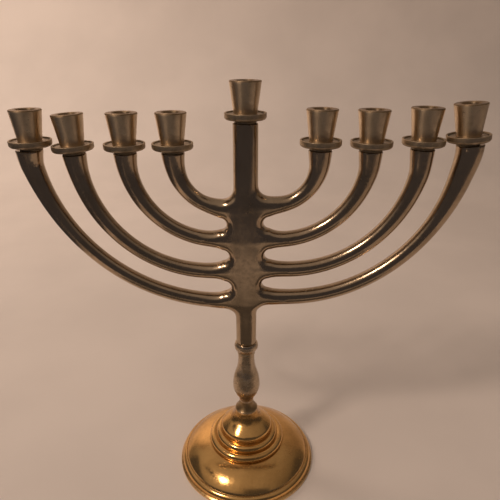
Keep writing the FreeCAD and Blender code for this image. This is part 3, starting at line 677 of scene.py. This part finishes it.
class Arm:
    """The line of one arm in the plane of the candles, and its radius along that line.

    The line runs straight out of the column, turns upwards on a circle, and ends in a short tail
    that meets the pan's seat squarely.
    """

    def __init__(self, tip):
        self.side = SIDES[tip.split("_")[0]]
        reach, self.bend, self.run, self.root = ARMS[tip]
        seat = tip_place(tip, 0.0)
        self.seat = np.array(seat.translation) / MM
        self.axis = np.array(seat.col[2][:3])
        last = math.radians(ARM_TURNS[-1])
        leave = np.array([math.cos(last), math.sin(last)])
        across = self.run + self.bend * math.sin(last)
        up = self.root + self.bend - self.bend * math.cos(last)
        begin = np.array([across, up])
        outermost = tip.endswith("four")
        outset = FOUR_OUTSET if outermost else 0.0
        self.radii = np.array(ARM_RADII) + (np.array(FOUR_SWELL) if outermost else 0.0)
        end = np.array([abs(self.seat[0]) + outset, self.seat[2]])
        arrive = np.array([self.axis[0] * self.side, self.axis[2]])
        pull = np.linalg.norm(end - begin)
        t = np.linspace(0, 1, TAIL_POINTS)[:, None]
        self.tail = (
            (2 * t ** 3 - 3 * t ** 2 + 1) * begin
            + (t ** 3 - 2 * t ** 2 + t) * leave * pull
            + (3 * t ** 2 - 2 * t ** 3) * end
            + (t ** 3 - t ** 2) * arrive * pull
        )
        self.tail = np.concatenate([self.tail, [end + arrive * 4.0]])
        self.arc_end = self.run + self.bend * last
        steps = np.linalg.norm(np.diff(self.tail, axis=0), axis=1)
        self.tail_along = self.arc_end + np.concatenate([[0.0], np.cumsum(steps)])
        stations = [0.0, self.run] + [self.run + self.bend * math.radians(a) for a in ARM_TURNS]
        self.stations = np.array(stations + [self.tail_along[-2]])

    def radius(self, along):
        """Radius at a distance along the line: a smooth curve through the given stations."""
        stations, radii = self.stations, self.radii
        slope = np.diff(radii) / np.diff(stations)
        tangent = np.concatenate([[0.0], (slope[:-1] + slope[1:]) / 2, [slope[-1]]])
        index = np.clip(np.searchsorted(stations, along) - 1, 0, len(stations) - 2)
        width = stations[index + 1] - stations[index]
        t = (along - stations[index]) / width
        return (
            (2 * t ** 3 - 3 * t ** 2 + 1) * radii[index]
            + (t ** 3 - 2 * t ** 2 + t) * width * tangent[index]
            + (3 * t ** 2 - 2 * t ** 3) * radii[index + 1]
            + (t ** 3 - t ** 2) * width * tangent[index + 1]
        )

    def height(self, x):
        """Height of the line at a distance from the column, near the column."""
        across = np.clip(x - self.run, 0.0, 0.8 * self.bend)
        return self.root + self.bend - np.sqrt(self.bend ** 2 - across ** 2)

    def nearest(self, x, z):
        """Square of the distance to the line in its plane, and the place along it."""
        x = x * self.side
        x, z = np.broadcast_arrays(x, z)
        straight = np.clip(x, 0.0, self.run)
        best = (x - straight) ** 2 + (z - self.root) ** 2
        along = straight
        right, down = x - self.run, self.root + self.bend - z
        turn = np.arctan2(right, down)
        on_arc = (turn > 0) & (turn < math.radians(ARM_TURNS[-1]))
        away = (np.hypot(right, down) - self.bend) ** 2
        closer = on_arc & (away < best)
        best = np.where(closer, away, best)
        along = np.where(closer, self.run + self.bend * turn, along)
        near = np.hypot(x - self.tail[0][0], z - self.tail[0][1]) < TAIL_REACH
        tail_x, tail_z = x[near], z[near]
        tail_best, tail_place = np.full(tail_x.shape, np.inf), np.zeros(tail_x.shape)
        for a, b, start in zip(self.tail, self.tail[1:], self.tail_along):
            d = b - a
            t = np.clip(((tail_x - a[0]) * d[0] + (tail_z - a[1]) * d[1]) / (d @ d), 0, 1)
            away = (tail_x - a[0] - t * d[0]) ** 2 + (tail_z - a[1] - t * d[1]) ** 2
            closer = away < tail_best
            tail_best = np.where(closer, away, tail_best)
            tail_place = np.where(closer, start + t * math.sqrt(d @ d), tail_place)
        closer = tail_best < best[near]
        best[near] = np.where(closer, tail_best, best[near])
        along[near] = np.where(closer, tail_place, along[near])
        return best, along

    def field(self, x, y, z):
        away, along = self.nearest(x, z)
        tube = np.sqrt(away + y * y) - self.radius(along)
        seat = (x - self.seat[0]) * self.axis[0] + (z - self.seat[2]) * self.axis[2]
        return soft_max(tube, seat + 0.0 * tube, 0.8)


ARM_LINES = {tip: Arm(tip) for tip in ARMS}


def web_edge(x, z):
    """How far a point lies outside the web's middle plane, from the openings on both sides."""
    edge = np.full(np.broadcast(x, z).shape, -1e3)
    for side_name, side in SIDES.items():
        arms = [ARM_LINES["%s_%s" % (side_name, n)] for n in reversed(NUMBERS)]
        heights = [arm.height(x * side) for arm in arms]
        for low, high, end in zip(heights, heights[1:], SLOT_ENDS[side_name]):
            start = end + SLOT_ROUND
            half = (high - low) / 2
            narrow = SLOT_ROUND + WEB_ROUND
            taper = np.clip((x * side - start) / SLOT_TAPER, 0.0, 1.0)
            half = narrow + (half + WEB_SINK - narrow) * taper * (2 - taper)
            away = np.hypot(np.maximum(start - x * side, 0.0), z - (high + low) / 2)
            edge = np.maximum(edge, half - away)
        reach = CORNER_ROUND + WEB_ROUND
        for arm, height, way in ((arms[0], heights[0], -1), (arms[-1], heights[-1], 1)):
            column = np.interp(arm.root, *zip(*COLUMN))
            across = np.maximum(column + CORNER_ROUND - x * side, 0.0)
            sink = WEB_SINK * smooth((x * side - column - CORNER_ROUND) / SLOT_TAPER)
            up = np.maximum((height + way * (reach - sink) - z) * way, 0.0)
            edge = np.maximum(edge, reach - np.hypot(across, up))
        edge = np.maximum(edge, x * side - WEB_HALF_WIDTH)
    return edge


def web_swell(x, z):
    """How much thicker the web is where it joins the column, on each face."""
    low = min(arm.root for arm in ARM_LINES.values())
    high = max(arm.root for arm in ARM_LINES.values())
    across = 1 - smooth((np.abs(x) - SWELL_FLAT) / SWELL_FADE)
    beyond = np.maximum(z - high, low - z)
    return WEB_SWELL * across * (1 - smooth(beyond / SWELL_FADE))


def casting_field(x, y, z):
    """Distance to the skin of the branch casting in millimetres, negative inside."""
    heights, radii = zip(*COLUMN)
    column = np.hypot(x, y) - np.interp(z, heights, radii)
    face = np.maximum(np.abs(y) - web_swell(x, z), 0.0)
    web = np.hypot(np.maximum(web_edge(x, z), 0.0), face) - WEB_ROUND
    arms = np.inf
    for arm in ARM_LINES.values():
        arms = np.minimum(arms, arm.field(x, y, z))
    whole = soft_min(soft_min(arms, web, 3.5), column, 3.0)
    whole = soft_max(whole, heights[0] - z + 0.0 * whole, 0.6)
    return soft_max(whole, z - heights[-1] + 0.0 * whole, 0.6)


def surface_net(field, low, high, cell):
    """Points and quads over the zero level of a field between two corners."""
    axes = [np.arange(low[i], high[i] + cell, cell) for i in range(3)]
    value = field(axes[0][:, None, None], axes[1][None, :, None], axes[2][None, None, :])
    inside = value < 0
    size = [n - 1 for n in value.shape]

    def part(array, shift):
        return array[tuple(slice(s, s + n) for s, n in zip(shift, size))]

    shifts = [(i, j, k) for i in (0, 1) for j in (0, 1) for k in (0, 1)]
    count = sum(part(inside, s).astype(np.int8) for s in shifts)
    active = (count > 0) & (count < 8)
    number = np.full(active.shape, -1)
    number[active] = np.arange(active.sum())
    cells = np.argwhere(active)
    total, hits = np.zeros((len(cells), 3)), np.zeros(len(cells))
    for axis in range(3):
        for shift in shifts:
            if shift[axis]:
                continue
            other = list(shift)
            other[axis] = 1
            a, b = part(value, shift)[active], part(value, other)[active]
            crossed = (a < 0) != (b < 0)
            t = np.where(crossed, a / np.where(crossed, a - b, 1.0), 0.0)
            spot = np.array(shift, float) + t[:, None] * np.eye(3)[axis]
            total += np.where(crossed[:, None], spot, 0.0)
            hits += crossed
    points = (cells + total / hits[:, None]) * cell + np.array(low)

    faces = []
    for axis in range(3):
        first, second = (axis + 1) % 3, (axis + 2) % 3
        here = [slice(1, -1)] * 3
        here[axis] = slice(0, -1)
        after = list(here)
        after[axis] = slice(1, None)
        start, end = inside[tuple(here)], inside[tuple(after)]
        for leaving in (True, False):
            spots = np.argwhere((start == leaving) & (end != leaving))
            spots[:, first] += 1
            spots[:, second] += 1
            ring = []
            for a, b in ((0, 0), (1, 0), (1, 1), (0, 1)):
                at = spots.copy()
                at[:, first] -= 1 - a
                at[:, second] -= 1 - b
                ring.append(number[at[:, 0], at[:, 1], at[:, 2]])
            quads = np.stack(ring if leaving else ring[::-1], axis=1)
            faces.append(quads)
    return points, np.concatenate(faces)


def field_slope(field, points, step=0.02):
    slope = np.zeros_like(points)
    for axis in range(3):
        ahead, behind = points.copy(), points.copy()
        ahead[:, axis] += step
        behind[:, axis] -= step
        slope[:, axis] = (field(*ahead.T) - field(*behind.T)) / (2 * step)
    return slope


def even_out(points, faces, normals):
    """Move each point to the middle of its neighbours, along the skin only."""
    total, count = np.zeros_like(points), np.zeros(len(points))
    for i in range(4):
        a, b = faces[:, i], faces[:, (i + 1) % 4]
        for here, other in ((a, b), (b, a)):
            np.add.at(total, here, points[other])
            np.add.at(count, here, 1)
    move = total / count[:, None] - points
    move -= (move * normals).sum(1)[:, None] * normals
    return points + 0.6 * move


def make_casting():
    low = (-151.0, -9.9, 106.5)
    high = (151.0, 9.9, 273.6)
    points, faces = surface_net(casting_field, low, high, CELL)
    for evening in (True, True, False):
        slope = field_slope(casting_field, points)
        steep = np.maximum((slope ** 2).sum(1), 0.04)
        points = points - (casting_field(*points.T) / steep)[:, None] * slope
        if evening:
            normals = slope / np.sqrt(steep)[:, None]
            points = even_out(points, faces, normals)
    slope = field_slope(casting_field, points)
    normals = slope / np.linalg.norm(slope, axis=1)[:, None]
    bend = casting_field(*(points + 1.2 * normals).T) - 1.2
    corner = np.clip(-bend / 0.25, 0, 1) * 0.8
    marks = {"edge": np.zeros(len(points)), "corner": corner}
    finish_mesh(
        "branch_casting_skin", points * MM, faces.tolist(), normals, marks, BRANCH_BRASS, "branches",
        ["branch_casting"],
    )


make_casting()


# ----------------------------------------------------------------------------------------------------
# Stage: floor, lights and camera
# ----------------------------------------------------------------------------------------------------
def paper(name, colour):
    g = Graph(name)
    shade = g.noise(6.0, 3.0, 0.5)
    light = tuple(min(1.0, c * 1.04) for c in colour)
    dark = tuple(c * 0.96 for c in colour)
    g.link(g.mix(g.ramp(shade, 0.3, 0.7), dark + (1.0,), light + (1.0,)), g.shader.inputs["Base Color"])
    g.link(g.bump(g.noise(900.0, 4.0, 0.6), 0.00004), g.shader.inputs["Normal"])
    g.shader.inputs["Roughness"].default_value = 0.75
    g.shader.inputs["Specular IOR Level"].default_value = 0.25
    return g.material


PAPER = paper("pale_paper", (0.76, 0.695, 0.65))
FLOOR_FRONT = -0.43
FLOOR_BACK = 0.70
FLOOR_HALF_WIDTH = 1.6
SWEEP = 0.45
WALL_TOP = 1.5


def sheet(name, line, half_width, material):
    """A wide sheet that follows a line of (y, z) points."""
    points = [(x, y, z) for y, z in line for x in (-half_width, half_width)]
    faces = [(2 * i, 2 * i + 1, 2 * i + 3, 2 * i + 2) for i in range(len(line) - 1)]
    mesh = bpy.data.meshes.new(name)
    mesh.from_pydata(points, [], faces)
    mesh.polygons.foreach_set("use_smooth", [True] * len(faces))
    mesh.materials.append(material)
    made = bpy.data.objects.new(name, mesh)
    bpy.context.scene.collection.objects.link(made)
    return made


sweep_line = [(FLOOR_FRONT, 0.0), (FLOOR_BACK, 0.0)]
for i in range(1, 25):
    angle = math.radians(90 * i / 24)
    sweep_line.append((FLOOR_BACK + SWEEP * math.sin(angle), SWEEP - SWEEP * math.cos(angle)))
sweep_line.append((FLOOR_BACK + SWEEP, WALL_TOP))
sheet("floor", sweep_line, FLOOR_HALF_WIDTH, PAPER)
front = sheet("floor_front", [(-1.6, 0.0), (FLOOR_FRONT, 0.0)], FLOOR_HALF_WIDTH, PAPER)
front.visible_glossy = False


def emitter(name, colour, strength):
    made = bpy.data.materials.new(name)
    made.use_nodes = True
    nodes = made.node_tree.nodes
    nodes.remove(nodes["Principled BSDF"])
    glow = nodes.new("ShaderNodeEmission")
    glow.inputs["Color"].default_value = colour + (1.0,)
    glow.inputs["Strength"].default_value = strength
    made.node_tree.links.new(glow.outputs[0], nodes["Material Output"].inputs["Surface"])
    return made


def card(name, corners, material):
    """A flat card that shows only in reflections."""
    mesh = bpy.data.meshes.new(name)
    mesh.from_pydata(corners, [], [(0, 1, 2, 3)])
    mesh.materials.append(material)
    made = bpy.data.objects.new(name, mesh)
    bpy.context.scene.collection.objects.link(made)
    made.visible_camera = False
    made.visible_diffuse = False
    made.visible_shadow = False
    made.visible_transmission = False
    return made


# The cards stand for the dim room and the table in front of the object. Their places and brightness
# are set for the camera's view, and the bands on the floor get brighter towards the front.
CARD_LIFT = 0.002
DIM = emitter("dim_card", (0.060, 0.053, 0.056), 1.0)
card("dim_card_front", [(-2.6, -1.7, -1.4), (2.6, -1.7, -1.4), (2.6, -1.7, 1.25), (-2.6, -1.7, 1.25)], DIM)
card("dim_card_left", [(-1.55, 0.65, -1.4), (-2.6, -1.7, -1.4), (-2.6, -1.7, 0.95), (-1.55, 0.65, 0.95)], DIM)
card("dim_card_right", [(2.6, -1.7, -1.4), (1.55, 0.65, -1.4), (1.55, 0.65, 0.95), (2.6, -1.7, 0.95)], DIM)
card("dim_card_high_left", [(-1.9, 0.1, 1.5), (-1.35, -0.8, 1.5), (-1.5, -0.9, 2.2), (-2.1, 0.1, 2.2)], DIM)
high_front = [(-0.1, -1.7, 1.25), (1.5, -1.7, 1.25), (1.5, -1.7, 1.85), (-0.1, -1.7, 1.85)]
card("dim_card_high_front", high_front, DIM)


def floor_card(name, left, right, front, back, material):
    """A card that lies just above the floor."""
    corners = [(left, front), (right, front), (right, back), (left, back)]
    card(name, [(x, y, CARD_LIFT) for x, y in corners], material)


floor_card("dim_card_floor_left", -1.6, -0.3, -0.45, 0.35, DIM)
# The shade bands are glowing cards of painted shadow on the table in front of the object, seen only in
# reflections.
SHADE_COLOUR = (0.102, 0.078, 0.061)
SHADE_HALF_WIDTH = 0.2
# back edge, front edge, strength
SHADE_BANDS = [(-0.075, -0.22, 0.9), (-0.22, -0.28, 1.9), (-0.28, -0.32, 2.8), (-0.32, FLOOR_FRONT, 3.5)]
for number, (back, front_edge, strength) in enumerate(SHADE_BANDS):
    band = "shade_card_%d" % number
    shade = emitter(band, SHADE_COLOUR, strength)
    floor_card(band, -SHADE_HALF_WIDTH, SHADE_HALF_WIDTH, front_edge, back, shade)


def lamp(name, place, aim, width, height, power, colour):
    """A rectangular soft light."""
    data = bpy.data.lights.new(name, "AREA")
    data.shape = "RECTANGLE"
    data.size = width
    data.size_y = height
    data.energy = power
    data.color = colour
    made = bpy.data.objects.new(name, data)
    made.location = place
    made.rotation_euler = (Vector(aim) - Vector(place)).to_track_quat("-Z", "Y").to_euler()
    made.visible_camera = False
    bpy.context.scene.collection.objects.link(made)
    return made


WARM = (1.0, 0.79, 0.64)
lamp("key_light", (-0.62, -0.50, 1.02), (0.0, 0.0, 0.15), 0.16, 0.16, 3.7, WARM)
overhead = lamp("overhead_light", (0.0, 0.1, 1.55), (0.0, 0.0, 0.0), 1.5, 1.3, 1.5, WARM)
overhead.visible_glossy = False
backdrop = lamp("backdrop_light", (-0.9, 0.45, 0.95), (-0.45, 1.15, 0.4), 0.5, 0.5, 6.0, WARM)
backdrop.visible_glossy = False


def studio_air():
    """The room's own light: dim at the horizon, brighter overhead and towards the left."""
    made = bpy.data.worlds.new("studio_air")
    made.use_nodes = True
    nodes, links = made.node_tree.nodes, made.node_tree.links
    split = nodes.new("ShaderNodeSeparateXYZ")
    links.new(nodes.new("ShaderNodeTexCoord").outputs["Generated"], split.inputs[0])
    rise = nodes.new("ShaderNodeMapRange")
    rise.interpolation_type = "SMOOTHSTEP"
    rise.inputs["From Min"].default_value = 0.15
    rise.inputs["From Max"].default_value = 0.85
    rise.inputs["To Min"].default_value = 0.12
    rise.inputs["To Max"].default_value = 0.28
    links.new(split.outputs["Z"], rise.inputs["Value"])
    side = nodes.new("ShaderNodeMapRange")
    side.inputs["From Min"].default_value = -1.0
    side.inputs["From Max"].default_value = 1.0
    side.inputs["To Min"].default_value = 1.5
    side.inputs["To Max"].default_value = 0.7
    links.new(split.outputs["X"], side.inputs["Value"])
    both = nodes.new("ShaderNodeMath")
    both.operation = "MULTIPLY"
    links.new(rise.outputs["Result"], both.inputs[0])
    links.new(side.outputs["Result"], both.inputs[1])
    nodes["Background"].inputs["Color"].default_value = (1.0, 0.80, 0.66, 1.0)
    links.new(both.outputs[0], nodes["Background"].inputs["Strength"])
    bpy.context.scene.world = made


studio_air()
bpy.context.scene.view_settings.view_transform = "Standard"

CAMERA_PLACE = Vector((0.01296, -0.30533, 0.31645))
CAMERA_TURN = math.radians(1.899)
CAMERA_PITCH = math.radians(23.170)
camera_data = bpy.data.cameras.new("camera")
camera_data.lens = 34.61
camera_data.sensor_width = 36.0
camera_data.clip_start = 0.01
camera = bpy.data.objects.new("camera", camera_data)
camera.location = CAMERA_PLACE
camera.rotation_euler = (math.pi / 2 - CAMERA_PITCH, 0.0, CAMERA_TURN)
bpy.context.scene.collection.objects.link(camera)
bpy.context.scene.camera = camera
